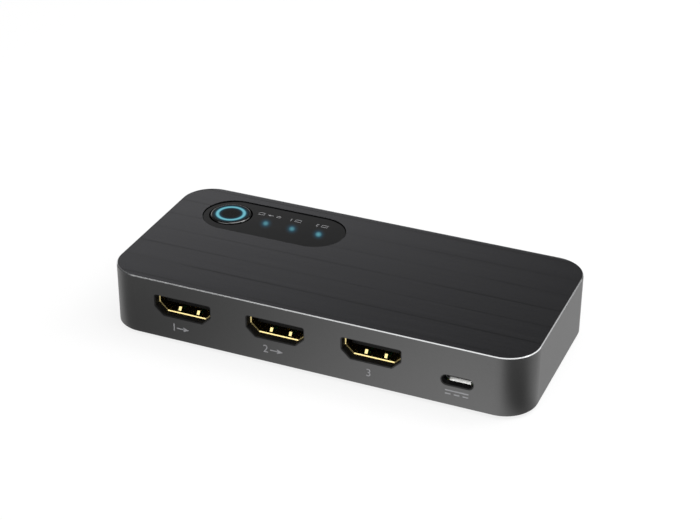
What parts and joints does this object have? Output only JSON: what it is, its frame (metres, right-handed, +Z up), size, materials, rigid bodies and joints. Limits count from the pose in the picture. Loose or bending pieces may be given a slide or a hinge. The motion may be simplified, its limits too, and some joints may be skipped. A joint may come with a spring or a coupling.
{
  "type": "video splitter",
  "caption": "Flat metal-cased video splitter with wide D-shaped video sockets and a small power socket on one side, a lit push button and indicator lights on top.",
  "frame": {"origin": "centre of the plan, at the level of the feet's soles", "axes": "+X right along the socket face, +Y from the socket face to the back, +Z up"},
  "size_m": [0.106, 0.0486, 0.0163],
  "materials": {
    "anodised_shell": "satin dark grey",
    "brushed_plate": "brushed, near black",
    "tape": "thin double-sided tape",
    "smoked_window": "glossy, smoked",
    "black_moulding": "fine matt",
    "cover_moulding": "fine textured",
    "zinc_screw": "zinc plated",
    "foot_rubber": "matt",
    "board_laminate": "green solder mask",
    "gilt": "thin gilt plating",
    "tin_plate": "tin plated",
    "socket_plastic": "moulded",
    "button_black": "smooth",
    "ring_clear": "milky clear, lit cyan",
    "pipe_clear": "clear",
    "lamp_body": "white with clear lens",
    "chip_epoxy": "moulded epoxy",
    "sink_aluminium": "black anodised",
    "heat_tape": "grey gap filler",
    "ferrite": "pressed ferrite",
    "can_aluminium": "drawn can",
    "ceramic_part": "fired, tinned ends"
  },
  "bodies": {
    "casing": {"board_screws": "zinc_screw", "bottom_cover": "cover_moulding", "ceramic_capacitors": "ceramic_part", "circuit_board": "board_laminate", "clock_crystal": "can_aluminium", "cover_screws": "zinc_screw", "foot_1": "foot_rubber", "foot_2": "foot_rubber", "foot_3": "foot_rubber", "foot_4": "foot_rubber", "heat_pad": "heat_tape", "heat_sink": "sink_aluminium", "housing": "anodised_shell", "indicator_led_1": "lamp_body", "indicator_led_2": "lamp_body", "indicator_led_3": "lamp_body", "indicator_window": "smoked_window", "light_pipe_1": "pipe_clear", "light_pipe_2": "pipe_clear", "light_pipe_3": "pipe_clear", "light_shroud": "black_moulding", "memory_chip": "chip_epoxy", "plate_adhesive": "tape", "port_liner": "black_moulding", "power_contacts": "gilt", "power_inductor": "ferrite", "power_shell": "tin_plate", "power_tongue": "socket_plastic", "regulator": "chip_epoxy", "resistors": "ceramic_part", "ring_led_1": "lamp_body", "ring_led_2": "lamp_body", "ring_led_3": "lamp_body", "ring_led_4": "lamp_body", "signal_chokes": "ferrite", "smoothing_capacitors": "can_aluminium", "splitter_chip": "chip_epoxy", "surge_arrays": "chip_epoxy", "switch_base": "black_moulding", "switch_cover": "tin_plate", "switch_dome": "tin_plate", "switch_terminals": "tin_plate", "top_plate": "brushed_plate", "video_contacts_1": "gilt", "video_contacts_2": "gilt", "video_contacts_3": "gilt", "video_shell_1": "gilt", "video_shell_2": "gilt", "video_shell_3": "gilt", "video_tongue_1": "socket_plastic", "video_tongue_2": "socket_plastic", "video_tongue_3": "socket_plastic", "window_adhesive": "tape"},
    "button": {"button_cap": "button_black", "button_light_ring": "ring_clear", "button_centre": "button_black"},
    "plunger": {"switch_plunger": "button_black"}
  },
  "joints": [
    {"name": "button_press", "type": "slide", "parent": "casing", "child": "button", "axis": [0, 0, -1], "range_m": [0, 0.00025], "stiffness_N_per_m": 800},
    {"name": "plunger_press", "type": "slide", "parent": "casing", "child": "plunger", "axis": [0, 0, -1], "range_m": [0, 0.00025], "stiffness_N_per_m": 80, "deforming": ["switch_dome"]}
  ],
  "couplings": [
    {"joint": "plunger_press", "follows": "button_press", "ratio": 1}
  ]
}
